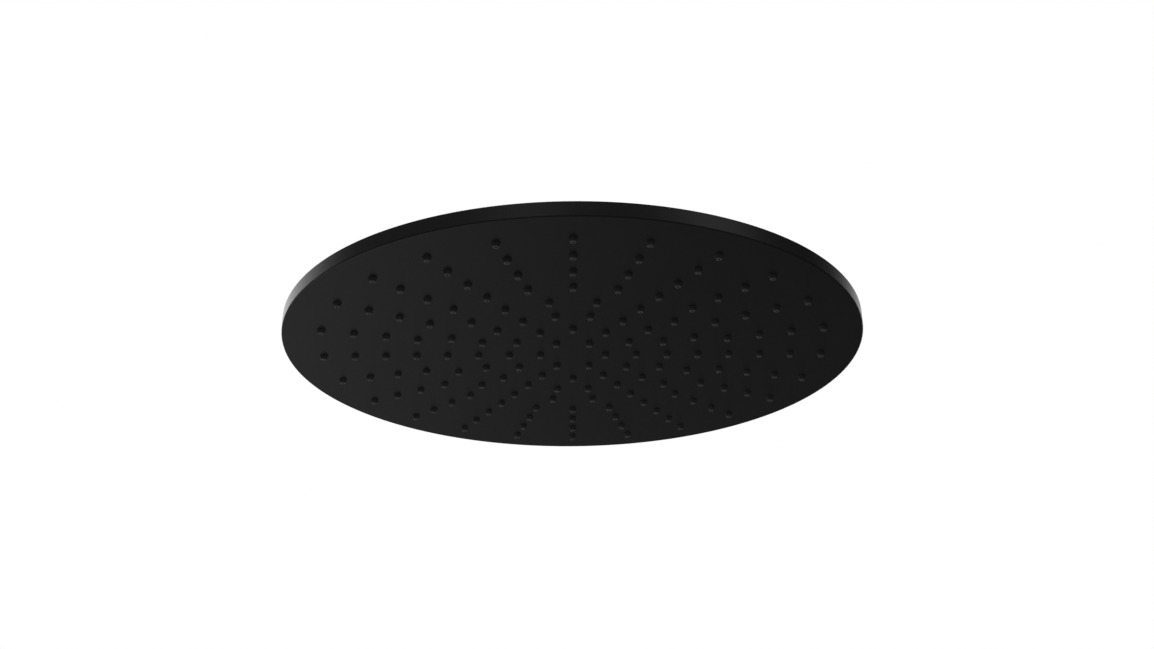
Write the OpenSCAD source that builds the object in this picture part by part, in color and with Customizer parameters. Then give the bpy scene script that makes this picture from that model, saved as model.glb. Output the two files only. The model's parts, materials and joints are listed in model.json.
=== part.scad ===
// Overhead rain shower head: a thin round head on a ball joint, with a G1/2 female inlet.
// The origin is the centre of the inlet's mouth. +Z points up, out of the inlet, and the
// head hangs below it with its spray face level. Units are millimetres.

/* [Head] */
// Diameter of the head
head_d = 300; // [290:5:400]
// Height of the rim that shows around the head
rim_h = 7.4; // [6:0.1:10]
// Wall of the face plate and of its rim
plate_t = 1.5; // [1.2:0.1:1.8]
// Bevel between the rim and the spray face
rim_bevel = 0.6; // [0.2:0.1:1]
// Height of the cover's crown above the spray face
crown_h = 15; // [14:0.5:24]
// Wall of the back cover
cover_t = 2.4; // [2:0.1:3]

/* [Nozzles] */
// Radius of the first ring of nozzles
ring_first_r = 17.1; // [17:0.05:17.5]
// Distance between the rings of nozzles
ring_pitch = 16.2; // [13.6:0.05:16.4]
// Base diameter of a nozzle nub
nub_d = 4.2; // [3:0.1:4.4]
// Diameter of a nub at its tip
nub_tip_d = 3.2; // [2:0.1:3.4]
// How far a nub stands out of the face
nub_h = 2.2; // [1:0.1:3]
// Diameter of the water outlet in a nub
outlet_d = 1; // [0.8:0.1:1.6]
// Thickness of the silicone mat
mat_t = 1.2; // [0.8:0.1:1.6]
// Thickness of the plate that holds the mat down
retainer_t = 1.4; // [1:0.1:1.8]

/* [Fasteners] */
// Number of countersunk screws around the edge
outer_screws = 12; // [6:1:24]
// Diameter of the cover screws
screw_d = 3; // [2.5:0.1:3.2]
// Diameter of the small screws inside the chamber
small_screw_d = 2.2; // [2:0.1:2.4]
// Diameter of the screws that hold the ball socket
socket_screw_d = 4; // [3:0.1:4.4]

/* [Ball joint] */
// Diameter of the ball
ball_d = 24; // [20:0.5:26]
// Tilt each way that the collar leaves room for, in degrees
tilt_max = 12; // [8:1:13]
// Wall of the plastic rings around the ball
ring_t = 2.1; // [1.8:0.1:2.6]
// Wall of the brass socket
socket_t = 2.8; // [2.4:0.1:3.6]
// Thickness of the socket's flange
flange_t = 4.4; // [4:0.1:6]
// Radial clearance between the ball, its rings and the collar
ball_gap = 0.12; // [0.08:0.01:0.2]

/* [Inlet] */
// Radius of the G1/2 female thread at its roots
thread_r = 10.48; // [10.3:0.01:10.6]
// Depth of the threaded bore
thread_depth = 10; // [9:0.5:14]
// Depth of the seat below the thread that holds the strainer and its washer
washer_seat_depth = 2.4; // [2.1:0.1:4]
// Depth of the bore that holds the flow regulator
regulator_depth = 6; // [5:0.5:10]
// Width of the inlet's hexagon across flats
hex_af = 26; // [25:0.5:30]
// Diameter of the waterway through the neck and the ball
waterway_d = 8.5; // [7:0.1:9]
// Wall of the neck
neck_t = 2.5; // [2:0.1:2.8]

/* [Hidden] */
$fn = 64;
eps = 0.01;
cut = 1;  // how far a cut runs past the faces that it goes through

// nozzle rings: how many nozzles, and the angle of the first one
RING_COUNT = [6, 12, 18, 18, 24, 24, 24, 24];
RING_START = [30, 0, 10, 10, 0, 0, 0, 0];
spoke_turn = -90;  // the first spoke of nozzles points along -Y
function ring_r(k) = ring_first_r + k * ring_pitch;
last_ring_r = ring_r(len(RING_COUNT) - 1);

// clearances
fit_gap = 0.15;
part_gap = 0.3;

// face plate and chamber, as heights above the spray face
head_r = head_d / 2;
hole_r = nub_d / 2 + fit_gap;
retainer_hole_r = outlet_d / 2 + 0.8;
mat_top = plate_t + mat_t;
retainer_top = mat_top + retainer_t;
seal_t = 2;
seal_w = 2.6;
mat_r = last_ring_r + nub_d / 2 + 1.2;
seal_in_r = mat_r + 0.7;
seal_out_r = seal_in_r + seal_w;
ledge_z = plate_t + seal_t;
rim_step = 0.4;
cover_edge_top = rim_h - rim_step;
cover_r = head_r - plate_t - fit_gap;
chamber_r = seal_in_r - 0.2;
chamber_edge_z = retainer_top + 1;
crown_r = 36;
crown_under = crown_h - cover_t;
cone_slope = (crown_under - chamber_edge_z) / (chamber_r - crown_r);
function under_z(r) = chamber_edge_z + (chamber_r - r) * cone_slope;
function over_z(r) = under_z(r) + cover_t;

// screws: the core of a screw sits in a hole of the same named size plus the fit gap
screw_r = screw_d / 2;
small_r = small_screw_d / 2;
outer_boss_r = screw_r + 1.3;
outer_screw_r = (seal_out_r + head_r - plate_t) / 2;
outer_head_r = screw_r + 1.1;
outer_tip_z = 0.95;
outer_key_r = 1.1;
outer_key_depth = 0.8;
inner_count = 6;
inner_screw_r = (ring_r(4) + ring_r(5)) / 2;
inner_turn = 7.5;
inner_boss_r = screw_r + 2.3;
inner_pad_z = under_z(inner_screw_r + inner_boss_r) - 0.5;
inner_seat_z = over_z(inner_screw_r + inner_boss_r) - 0.3;
inner_tip_z = plate_t + 1;
inner_head_r = screw_r + 1.4;
inner_head_h = 1.8;
inner_key_r = 1.2;
inner_key_depth = 1.1;
hole_end = 0.2;  // how far a blind screw hole runs past the screw
washer_t = 0.8;
small_count = 6;
small_inner_r = (ring_r(2) + ring_r(3)) / 2;
small_outer_r = (ring_r(6) + ring_r(7)) / 2;
small_outer_turn = 22.5;
small_boss_r = small_r + 1.5;
small_head_r = small_r + 1.1;
small_head_h = 1.3;
small_tip_z = plate_t / 2 + hole_end;

// diffuser, hung from the crown on three posts
diffuser_t = 1.2;
diffuser_r = 32.5;
diffuser_top = retainer_top + 3.3;
post_circle_r = 28.6;
post_r = 3;
diffuser_screw_l = 5;
diffuser_slots = 12;
slot_circle_r = 18.5;
slot_l = 13;
slot_w = 3;

// socket, as heights above the spray face
gasket_t = 1;
port_r = 12;
flange_bottom = crown_h + gasket_t;
flange_r = 27;
socket_screw_circle = 21.8;
socket_screw_r = socket_screw_d / 2;
socket_head_r = socket_screw_r + 1.5;
socket_head_h = 2.2;
socket_tip_drop = 1.3;
socket_floor = flange_bottom + 2;
ball_r = ball_d / 2;
socket_port_r = ball_r * 0.72;
ring_in_r = ball_r + ball_gap;
ring_out_r = ring_in_r + ring_t;
collar_in_r = ring_out_r + ball_gap;
socket_in_r = ring_out_r + 0.3;
socket_out_r = socket_in_r + socket_t;
ball_z = socket_floor + ball_r * 0.767;
seal_top = ball_z - ball_r * 0.525;
ball_flat = ball_r * 0.908;
ring_open = collar_in_r * sin(tilt_max / 2) + 0.4;
seat_top = ball_z - ring_open;
liner_bottom = ball_z + ring_open;
liner_top = ball_z + ball_r * 0.617;
socket_top = ball_z + 1;
waterway_r = waterway_d / 2;
neck_r = waterway_r + neck_t;
collar_top = ball_z + ball_r;
collar_open_r = neck_r / cos(tilt_max) + ball_r * tan(tilt_max) + 0.35;
collar_out_r = socket_out_r + 3.6;
collar_bottom = flange_bottom + flange_t + 0.5;
collar_chamfer_h = 4;
collar_chamfer_w = 5;

// inlet: the hexagon clears the collar's edge at full tilt
hex_bottom = ball_z + ball_r * cos(tilt_max) + collar_out_r * sin(tilt_max) + 0.7;
inlet_floor = 2.5;
inlet_h = inlet_floor + regulator_depth + washer_seat_depth + thread_depth;
inlet_top = hex_bottom + inlet_h;
washer_seat_r = thread_r - 1;
regulator_bore_r = washer_seat_r - 1.6;
thread_bottom = inlet_top - thread_depth;
shoulder_z = thread_bottom - washer_seat_depth;
regulator_z = shoulder_z - regulator_depth;
screen_t = 0.5;
hex_corner_r = hex_af / 2 / cos(30);
hex_cap = 1.2;

// flow regulator, strainer and washer
regulator_top = shoulder_z - 0.2;
regulator_cup_r = 4;
regulator_hole_r = 0.8;
regulator_hole_circle = 5.1;
oring_groove_r = 3.6;
oring_groove_h = 2.2;
oring_z = shoulder_z - 1.9;
oring_t = 1.3;
oring_out_r = 6.1;
mesh_pitch = 2;
mesh_hole_r = 0.75;
mesh_reach = 3;
mesh_corner = 10;  // the mesh leaves out places whose squared step count is over this
washer_w = 2.45;
washer_in_r = washer_seat_r - fit_gap - washer_w;

// places something given as a height above the spray face in the inlet's frame
module on_face() { translate([0, 0, -inlet_top]) children(); }

// the same thing at every place of a bolt circle
module around(count, r, start = 0) {
    for (i = [0 : count - 1])
        rotate([0, 0, start + 360 * i / count]) translate([r, 0, 0]) children();
}

// the same thing at every nozzle
module at_nozzles() {
    rotate([0, 0, spoke_turn])
        for (k = [0 : len(RING_COUNT) - 1])
            around(RING_COUNT[k], ring_r(k), RING_START[k]) children();
}

// the same thing at every place of one group of screws
module at_outer_screws() { around(outer_screws, outer_screw_r, inner_turn) children(); }
module at_inner_screws() {
    rotate([0, 0, spoke_turn]) around(inner_count, inner_screw_r, inner_turn) children();
}
module at_small_screws() {
    rotate([0, 0, spoke_turn]) {
        around(small_count, small_inner_r) children();
        around(small_count, small_outer_r, small_outer_turn) children();
    }
}
module at_diffuser_screws() { around(3, post_circle_r, 30) children(); }
module at_socket_screws() { around(4, socket_screw_circle, 0) children(); }

module cylinder_at(z, h, r) { translate([0, 0, z]) cylinder(h = h, r = r, $fn = 32); }

module face_plate() {
    color("#1c1c1e") on_face() difference() {
        union() {
            rotate_extrude($fn = 180) polygon([
                [0, 0], [head_r - rim_bevel, 0], [head_r, rim_bevel], [head_r, rim_h],
                [head_r - plate_t, rim_h], [head_r - plate_t, plate_t], [0, plate_t]]);
            at_outer_screws() cylinder_at(plate_t - eps, seal_t + eps, outer_boss_r);
            at_inner_screws() cylinder_at(plate_t - eps, inner_pad_z - plate_t + eps, inner_boss_r);
            at_small_screws() cylinder_at(plate_t - eps, mat_t + eps, small_boss_r);
        }
        at_nozzles() cylinder_at(-cut, plate_t + 2 * cut, hole_r);
        at_outer_screws() cylinder_at(outer_tip_z - hole_end, rim_h, screw_r + fit_gap);
        at_inner_screws() cylinder_at(inner_tip_z - hole_end, crown_h, screw_r + fit_gap);
        at_small_screws() cylinder_at(small_tip_z - hole_end, retainer_top, small_r + fit_gap);
    }
}

module nozzle_mat() {
    color("#2a2a2c") on_face() difference() {
        union() {
            cylinder_at(plate_t, mat_t, mat_r);
            at_nozzles() cylinder_at(-eps, plate_t + 2 * eps, nub_d / 2);
            at_nozzles() translate([0, 0, -nub_h])
                cylinder(h = nub_h, r1 = nub_tip_d / 2, r2 = nub_d / 2, $fn = 32);
        }
        at_nozzles() cylinder_at(-nub_h - cut, nub_h + mat_top + 2 * cut, outlet_d / 2);
        at_inner_screws() cylinder_at(0, mat_top + cut, inner_boss_r + part_gap);
        at_small_screws() cylinder_at(0, mat_top + cut, small_boss_r + part_gap);
    }
}

module mat_retainer() {
    color("#d8d8d4") on_face() difference() {
        cylinder_at(mat_top, retainer_t, mat_r);
        at_nozzles() cylinder_at(mat_top - cut, retainer_t + 2 * cut, retainer_hole_r);
        at_inner_screws() cylinder_at(mat_top - cut, retainer_t + 2 * cut, inner_boss_r + part_gap);
        at_small_screws() cylinder_at(mat_top - cut, retainer_t + 2 * cut, small_r + fit_gap);
    }
}

module retainer_screws() {
    color("silver") on_face() at_small_screws() union() {
        cylinder_at(retainer_top, small_head_h, small_head_r);
        cylinder_at(small_tip_z, retainer_top - small_tip_z + eps, small_r);
    }
}

module perimeter_seal() {
    color("#101010") on_face() rotate_extrude($fn = 180)
        translate([seal_in_r, plate_t]) square([seal_w, seal_t]);
}

module back_cover() {
    step_r = seal_out_r - 0.4;
    color("#1f1f21") on_face() difference() {
        union() {
            rotate_extrude($fn = 180) polygon([
                [port_r, crown_under], [crown_r, crown_under], [chamber_r, chamber_edge_z],
                [chamber_r, ledge_z], [cover_r, ledge_z], [cover_r, cover_edge_top],
                [step_r, cover_edge_top], [chamber_r, over_z(chamber_r)],
                [crown_r, crown_h], [port_r, crown_h]]);
            at_inner_screws() cylinder_at(inner_pad_z, inner_seat_z - inner_pad_z, inner_boss_r);
            at_diffuser_screws()
                cylinder_at(diffuser_top, crown_under + cover_t / 2 - diffuser_top, post_r);
        }
        at_outer_screws() {
            cylinder_at(ledge_z - cut, rim_h, screw_r + fit_gap);
            translate([0, 0, cover_edge_top - outer_head_r + screw_r])
                cylinder(h = 2 * cut, r1 = screw_r, r2 = screw_r + 2 * cut, $fn = 32);
        }
        at_inner_screws() {
            cylinder_at(inner_pad_z - cut, crown_h, screw_r + fit_gap);
            cylinder_at(inner_seat_z, crown_h, inner_boss_r);
        }
        at_diffuser_screws()
            cylinder_at(diffuser_top - cut, crown_under - diffuser_top, small_r + fit_gap);
        at_socket_screws()
            cylinder_at(crown_under - cut, cover_t + 2 * cut, socket_screw_r + fit_gap);
    }
}

module outer_cover_screws() {
    color("#2b2b2d") on_face() at_outer_screws() difference() {
        union() {
            translate([0, 0, cover_edge_top - outer_head_r + screw_r])
                cylinder(h = outer_head_r - screw_r, r1 = screw_r, r2 = outer_head_r, $fn = 32);
            cylinder_at(outer_tip_z, cover_edge_top - outer_key_depth - eps - outer_tip_z, screw_r);
        }
        translate([0, 0, cover_edge_top - outer_key_depth])
            cylinder(h = 2 * cut, r = outer_key_r, $fn = 6);
    }
}

module inner_cover_screws() {
    head_z = inner_seat_z + washer_t;
    color("#2b2b2d") on_face() at_inner_screws() difference() {
        union() {
            cylinder_at(head_z, inner_head_h, inner_head_r);
            cylinder_at(inner_tip_z, head_z - inner_tip_z + eps, screw_r);
        }
        translate([0, 0, head_z + inner_head_h - inner_key_depth])
            cylinder(h = 2 * cut, r = inner_key_r, $fn = 6);
    }
}

module inner_screw_seals() {
    color("#101010") on_face() at_inner_screws() difference() {
        cylinder_at(inner_seat_z, washer_t, inner_boss_r - part_gap);
        cylinder_at(inner_seat_z - cut, washer_t + 2 * cut, screw_r + fit_gap);
    }
}

module inlet_diffuser() {
    color("#d8d8d4") on_face() difference() {
        cylinder_at(diffuser_top - diffuser_t, diffuser_t, diffuser_r);
        around(diffuser_slots, slot_circle_r, 180 / diffuser_slots)
            translate([-slot_l / 2, -slot_w / 2, diffuser_top - diffuser_t - cut])
                cube([slot_l, slot_w, diffuser_t + 2 * cut]);
        at_diffuser_screws()
            cylinder_at(diffuser_top - diffuser_t - cut, diffuser_t + 2 * cut, small_r + fit_gap);
    }
}

module diffuser_screws() {
    head_z = diffuser_top - diffuser_t;
    color("silver") on_face() at_diffuser_screws() union() {
        cylinder_at(head_z - small_head_h, small_head_h, small_head_r);
        cylinder_at(head_z - eps, diffuser_screw_l, small_r);
    }
}

module socket_gasket() {
    color("#101010") on_face() difference() {
        cylinder_at(crown_h, gasket_t, flange_r - part_gap);
        cylinder_at(crown_h - cut, gasket_t + 2 * cut, port_r);
        at_socket_screws() cylinder_at(crown_h - cut, gasket_t + 2 * cut, socket_screw_r + fit_gap);
    }
}

module socket_body() {
    color("#b08d46") on_face() difference() {
        union() {
            cylinder_at(flange_bottom, flange_t, flange_r);
            cylinder_at(flange_bottom, socket_top - flange_bottom, socket_out_r);
        }
        cylinder_at(flange_bottom - cut, crown_h, socket_port_r);
        cylinder_at(socket_floor, inlet_top, socket_in_r);
        at_socket_screws() cylinder_at(flange_bottom - cut, flange_t, socket_screw_r + fit_gap);
    }
}

module socket_screws() {
    color("silver") on_face() at_socket_screws() union() {
        cylinder_at(crown_under - socket_head_h, socket_head_h, socket_head_r);
        cylinder_at(crown_under - eps, flange_bottom + flange_t - socket_tip_drop - crown_under,
            socket_screw_r);
    }
}

// a ring around the ball between two heights, with a spherical bore
module ball_ring(low, high, out_r) {
    difference() {
        cylinder_at(low, high - low, out_r);
        translate([0, 0, ball_z]) sphere(r = ring_in_r, $fn = 96);
    }
}

module ball_seal() {
    color("#101010") on_face() ball_ring(socket_floor, seal_top, socket_in_r - fit_gap);
}

module seat_ring() {
    color("#e8e6df") on_face() ball_ring(seal_top + 0.2, seat_top, socket_in_r - fit_gap);
}

module upper_liner() {
    color("#e8e6df") on_face() intersection() {
        ball_ring(liner_bottom, liner_top, ring_out_r);
        translate([0, 0, ball_z]) sphere(r = ring_out_r, $fn = 96);
    }
}

module collar_nut() {
    color("#1f1f21") on_face() difference() {
        union() {
            cylinder_at(collar_bottom, collar_top - collar_chamfer_h - collar_bottom, collar_out_r);
            translate([0, 0, collar_top - collar_chamfer_h]) cylinder(
                h = collar_chamfer_h, r1 = collar_out_r, r2 = collar_out_r - collar_chamfer_w, $fn = 64);
        }
        cylinder_at(crown_h, socket_top - crown_h, socket_out_r + ball_gap);
        translate([0, 0, ball_z]) intersection() {
            sphere(r = collar_in_r, $fn = 96);
            cylinder(h = ball_r * 2, r = collar_in_r + cut);
        }
        cylinder_at(ball_z, ball_r * 2, collar_open_r);
    }
}

module ball_stud() {
    color("#b08d46") on_face() difference() {
        union() {
            translate([0, 0, ball_z]) sphere(r = ball_r, $fn = 96);
            cylinder_at(ball_z, hex_bottom - ball_z + eps, neck_r);
            intersection() {
                translate([0, 0, hex_bottom]) cylinder(h = inlet_h, r = hex_corner_r, $fn = 6);
                rotate_extrude($fn = 64) polygon([
                    [0, hex_bottom], [hex_af / 2, hex_bottom],
                    [hex_corner_r + 0.1, hex_bottom + hex_cap],
                    [hex_corner_r + 0.1, inlet_top - hex_cap],
                    [hex_af / 2, inlet_top], [0, inlet_top]]);
            }
        }
        translate([0, 0, ball_z - ball_flat - ball_r]) cylinder(h = ball_r, r = ball_r);
        cylinder_at(0, inlet_top + cut, waterway_r);
        cylinder_at(regulator_z, inlet_h, regulator_bore_r);
        cylinder_at(shoulder_z, inlet_h, washer_seat_r);
        cylinder_at(thread_bottom, inlet_h, thread_r);
    }
}

module flow_regulator() {
    color("#3f8f5a") on_face() difference() {
        cylinder_at(regulator_z, regulator_top - regulator_z, regulator_bore_r - fit_gap);
        translate([0, 0, regulator_top - oring_groove_h]) rotate_extrude($fn = 48)
            translate([oring_groove_r, 0]) square([regulator_bore_r, oring_groove_h + cut]);
        around(6, regulator_hole_circle)
            cylinder_at(regulator_z - cut, regulator_depth, regulator_hole_r);
        cylinder_at(regulator_z - cut, 2 * cut, regulator_cup_r);
    }
}

module regulator_oring() {
    color("#101010") on_face() translate([0, 0, oring_z]) difference() {
        cylinder(h = oring_t, r = oring_out_r, $fn = 48);
        translate([0, 0, -cut])
            cylinder(h = oring_t + 2 * cut, r = oring_groove_r + fit_gap, $fn = 48);
    }
}

module filter_screen() {
    color("silver") on_face() difference() {
        cylinder_at(shoulder_z, screen_t, washer_seat_r - fit_gap);
        for (x = [-mesh_reach : mesh_reach])
            for (y = [-mesh_reach : mesh_reach])
                if (x * x + y * y < mesh_corner)
                    translate([x * mesh_pitch, y * mesh_pitch, 0])
                        cylinder_at(shoulder_z - cut, screen_t + 2 * cut, mesh_hole_r);
    }
}

module filter_washer() {
    bottom_z = shoulder_z + screen_t;
    color("#303030") on_face() difference() {
        cylinder_at(bottom_z, thread_bottom - 0.1 - bottom_z, washer_seat_r - fit_gap);
        cylinder_at(shoulder_z, washer_seat_depth + cut, washer_in_r);
    }
}

face_plate();
nozzle_mat();
mat_retainer();
retainer_screws();
perimeter_seal();
back_cover();
outer_cover_screws();
inner_cover_screws();
inner_screw_seals();
inlet_diffuser();
diffuser_screws();
socket_gasket();
socket_body();
socket_screws();
ball_seal();
seat_ring();
upper_liner();
collar_nut();
ball_stud();
flow_regulator();
regulator_oring();
filter_screen();
filter_washer();
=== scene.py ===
"""Overhead rain shower head on a ball joint: the pieces and finishes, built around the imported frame."""
import json
import math

import bpy
from mathutils import Matrix, Vector


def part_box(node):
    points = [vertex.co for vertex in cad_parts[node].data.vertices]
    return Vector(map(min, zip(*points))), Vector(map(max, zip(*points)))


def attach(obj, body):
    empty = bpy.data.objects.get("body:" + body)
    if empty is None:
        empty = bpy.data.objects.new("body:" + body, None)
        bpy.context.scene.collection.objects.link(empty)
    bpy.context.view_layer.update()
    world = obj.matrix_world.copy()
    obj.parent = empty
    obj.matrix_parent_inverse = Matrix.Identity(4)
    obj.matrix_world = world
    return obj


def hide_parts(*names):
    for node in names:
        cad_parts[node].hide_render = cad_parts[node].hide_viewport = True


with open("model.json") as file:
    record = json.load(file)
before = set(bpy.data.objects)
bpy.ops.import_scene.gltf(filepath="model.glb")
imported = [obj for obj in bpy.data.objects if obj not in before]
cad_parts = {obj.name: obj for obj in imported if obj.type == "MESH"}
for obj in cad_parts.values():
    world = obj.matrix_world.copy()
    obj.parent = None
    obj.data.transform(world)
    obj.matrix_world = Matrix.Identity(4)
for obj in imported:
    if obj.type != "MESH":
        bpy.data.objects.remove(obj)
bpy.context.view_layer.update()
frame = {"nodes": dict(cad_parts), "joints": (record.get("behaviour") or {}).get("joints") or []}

bl_info = {
    "name": "Rain Shower Head",
    "version": (1, 0, 0),
    "blender": (4, 5, 0),
    "location": "View3D > Sidebar > Shower",
    "description": "Builds the pieces, finishes and studio of an overhead rain shower head",
    "category": "Object",
}

MM = 0.001
# the nozzle rings: how many nozzles, and the angle of the first one from -Y towards +X, in degrees
RING_COUNTS = (6, 12, 18, 18, 24, 24, 24, 24)
RING_STARTS = (30, 0, 10, 10, 0, 0, 0, 0)

FACE_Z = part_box("face_plate")[0].z
HEAD_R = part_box("face_plate")[1].x
FLOOR_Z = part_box("perimeter_seal")[0].z      # inner floor of the face plate
LEDGE_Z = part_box("perimeter_seal")[1].z      # underside of the cover's edge
MAT_LOW, MAT_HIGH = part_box("nozzle_mat")
COVER_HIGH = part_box("back_cover")[1]
JOINT_Z = frame["joints"][0]["pos_m"][2]     # centre of the ball
BALL_R = 12 * MM
BALL_GAP = 0.12 * MM                         # between the ball and its rings, and around the rings
RING_WALL = 2.1 * MM                         # of the rings around the ball
SOCKET_BORE = 14.52 * MM
SOCKET_TUBE = SOCKET_BORE + 2.8 * MM         # outside of the cup, where the nut is screwed on
CHAMBER_PORT = 12 * MM                       # bore of the cover and the gasket under the socket
OUTER_SCREWS, INNER_SCREWS = 12, 6           # that hold the cover
SCREW_TURN = 7.5                             # of the first screw, in degrees


# ---------------------------------------------------------------- sizes and finishes

class ShowerHeadSizes(bpy.types.PropertyGroup):
    """Sizes of the details that the frame's boxes don't give."""

    rim_height: bpy.props.FloatProperty(
        name="Rim height", description="Height of the straight rim around the head",
        default=7.4 * MM, subtype="DISTANCE", unit="LENGTH")
    rim_round: bpy.props.FloatProperty(
        name="Rim rounding", description="Radius between the rim and the spray face",
        default=0.6 * MM, subtype="DISTANCE", unit="LENGTH")
    wall: bpy.props.FloatProperty(
        name="Rim wall", description="Thickness of the face plate's rim",
        default=1.5 * MM, subtype="DISTANCE", unit="LENGTH")
    first_ring: bpy.props.FloatProperty(
        name="First ring", description="Radius of the first ring of nozzles",
        default=17.1 * MM, subtype="DISTANCE", unit="LENGTH")
    ring_pitch: bpy.props.FloatProperty(
        name="Ring pitch", description="Distance between the rings of nozzles",
        default=16.2 * MM, subtype="DISTANCE", unit="LENGTH")
    nub_base: bpy.props.FloatProperty(
        name="Nub base", description="Radius of a nozzle nub where it leaves the face",
        default=2.1 * MM, subtype="DISTANCE", unit="LENGTH")
    nub_tip: bpy.props.FloatProperty(
        name="Nub tip", description="Radius of a nozzle nub at its tip",
        default=1.6 * MM, subtype="DISTANCE", unit="LENGTH")
    outlet: bpy.props.FloatProperty(
        name="Outlet", description="Radius of the water outlet in a nub",
        default=0.5 * MM, subtype="DISTANCE", unit="LENGTH")
    crown: bpy.props.FloatProperty(
        name="Crown", description="Radius of the flat crown of the back cover",
        default=36 * MM, subtype="DISTANCE", unit="LENGTH")
    knurl_depth: bpy.props.FloatProperty(
        name="Knurl depth", description="Depth of the grooves around the collar nut",
        default=0.45 * MM, subtype="DISTANCE", unit="LENGTH")
    knurl_count: bpy.props.IntProperty(
        name="Knurl ribs", description="Number of ribs around the collar nut", default=60, min=24)
    thread_pitch: bpy.props.FloatProperty(
        name="Thread pitch", description="Pitch of the inlet's half-inch pipe thread",
        default=1.814 * MM, subtype="DISTANCE", unit="LENGTH")
    thread_depth: bpy.props.FloatProperty(
        name="Thread depth", description="Height of the inlet thread's ridge",
        default=1.16 * MM, subtype="DISTANCE", unit="LENGTH")


class ShowerHeadFinishes(bpy.types.PropertyGroup):
    """Colours that a user would change."""

    shell: bpy.props.FloatVectorProperty(
        name="Shell", description="Colour of the face plate and the cover",
        default=(0.0105, 0.0105, 0.0108), size=3, subtype="COLOR", min=0, max=1)
    nozzles: bpy.props.FloatVectorProperty(
        name="Nozzles", description="Colour of the silicone nozzles",
        default=(0.066, 0.066, 0.0665), size=3, subtype="COLOR", min=0, max=1)
    fittings: bpy.props.FloatVectorProperty(
        name="Fittings", description="Colour of the coated metal of the ball joint",
        default=(0.013, 0.013, 0.0135), size=3, subtype="COLOR", min=0, max=1)


class ShowerHeadStudio(bpy.types.PropertyGroup):
    """Where the camera stands and what the studio looks like."""

    distance: bpy.props.FloatProperty(
        name="Distance", description="From the aim point to the camera",
        default=0.69134, subtype="DISTANCE", unit="LENGTH")
    elevation: bpy.props.FloatProperty(
        name="Elevation", description="How far the camera looks up",
        default=math.radians(24.132), subtype="ANGLE", unit="ROTATION")
    azimuth: bpy.props.FloatProperty(
        name="Azimuth", description="How far the camera looks to the right of +Y",
        default=math.radians(0.485), subtype="ANGLE", unit="ROTATION")
    roll: bpy.props.FloatProperty(
        name="Roll", description="Turn of the camera about its own axis",
        default=math.radians(-0.577), subtype="ANGLE", unit="ROTATION")
    aim: bpy.props.FloatVectorProperty(
        name="Aim", description="What the camera aims at, from the middle of the spray face",
        default=(2.433 * MM, 0.0, 17.217 * MM), size=3, subtype="TRANSLATION")
    lens: bpy.props.FloatProperty(
        name="Lens", description="Focal length in millimetres on a 36 mm sensor", default=40.585)
    floor_drop: bpy.props.FloatProperty(
        name="Floor", description="How far the floor lies below the spray face",
        default=1.3, subtype="DISTANCE", unit="LENGTH")


# ---------------------------------------------------------------- modelling helpers

def clear_selection():
    """Leaves edit mode with nothing selected."""
    if bpy.context.object and bpy.context.object.mode != "OBJECT":
        bpy.ops.object.mode_set(mode="OBJECT")
    bpy.ops.object.select_all(action="DESELECT")


def pick(piece, *others):
    """Selects pieces, the first of them active."""
    clear_selection()
    for each in (piece, *others):
        each.select_set(True)
    bpy.context.view_layer.objects.active = piece
    return piece


def apply_modifier(piece, kind, **settings):
    """Adds a modifier, sets it and applies it."""
    pick(piece)
    modifier = piece.modifiers.new(kind.title(), kind)
    for key, value in settings.items():
        setattr(modifier, key, value)
    bpy.ops.object.modifier_apply(modifier=modifier.name)
    return piece


def drawn(name, points):
    """A line drawn point by point beside the Z axis, left in edit mode with all of it selected."""
    clear_selection()
    bpy.ops.mesh.primitive_plane_add(size=MM)
    piece = bpy.context.object
    piece.name = name
    bpy.ops.object.mode_set(mode="EDIT")
    bpy.ops.mesh.select_all(action="SELECT")
    bpy.ops.mesh.merge(type="CENTER")
    r, z = points[0]
    bpy.ops.transform.translate(value=(r, 0, z))
    for r_next, z_next in points[1:]:
        move = {"value": (r_next - r, 0, z_next - z)}
        bpy.ops.mesh.extrude_region_move(TRANSFORM_OT_translate=move)
        r, z = r_next, z_next
    bpy.ops.mesh.select_all(action="SELECT")
    return piece


def turned(name, profile, steps=96, close=True):
    """A piece made on a lathe: its profile is drawn, then spun about the Z axis."""
    piece = drawn(name, list(profile) + ([profile[0]] if close else []))
    bpy.ops.mesh.remove_doubles(threshold=1e-6)
    bpy.ops.mesh.select_all(action="SELECT")
    bpy.ops.mesh.spin(steps=steps, angle=2 * math.pi, center=(0, 0, 0), axis=(0, 0, 1))
    bpy.ops.mesh.select_all(action="SELECT")
    bpy.ops.mesh.remove_doubles(threshold=1e-6)
    bpy.ops.mesh.normals_make_consistent(inside=False)
    bpy.ops.object.mode_set(mode="OBJECT")
    return piece


def rounded(piece, width, segments=3, angle=28):
    """Rounds every edge sharper than angle."""
    return apply_modifier(
        piece, "BEVEL", width=width, segments=segments, limit_method="ANGLE",
        angle_limit=math.radians(angle), use_clamp_overlap=True, harden_normals=False)


def prism(name, sides, radius, low, high):
    """An upright prism, a start for sockets and hexagons."""
    clear_selection()
    bpy.ops.mesh.primitive_cylinder_add(
        vertices=sides, radius=radius, depth=high - low, location=(0, 0, (low + high) / 2))
    piece = bpy.context.object
    piece.name = name
    bpy.ops.object.transform_apply(location=True)
    return piece


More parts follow.
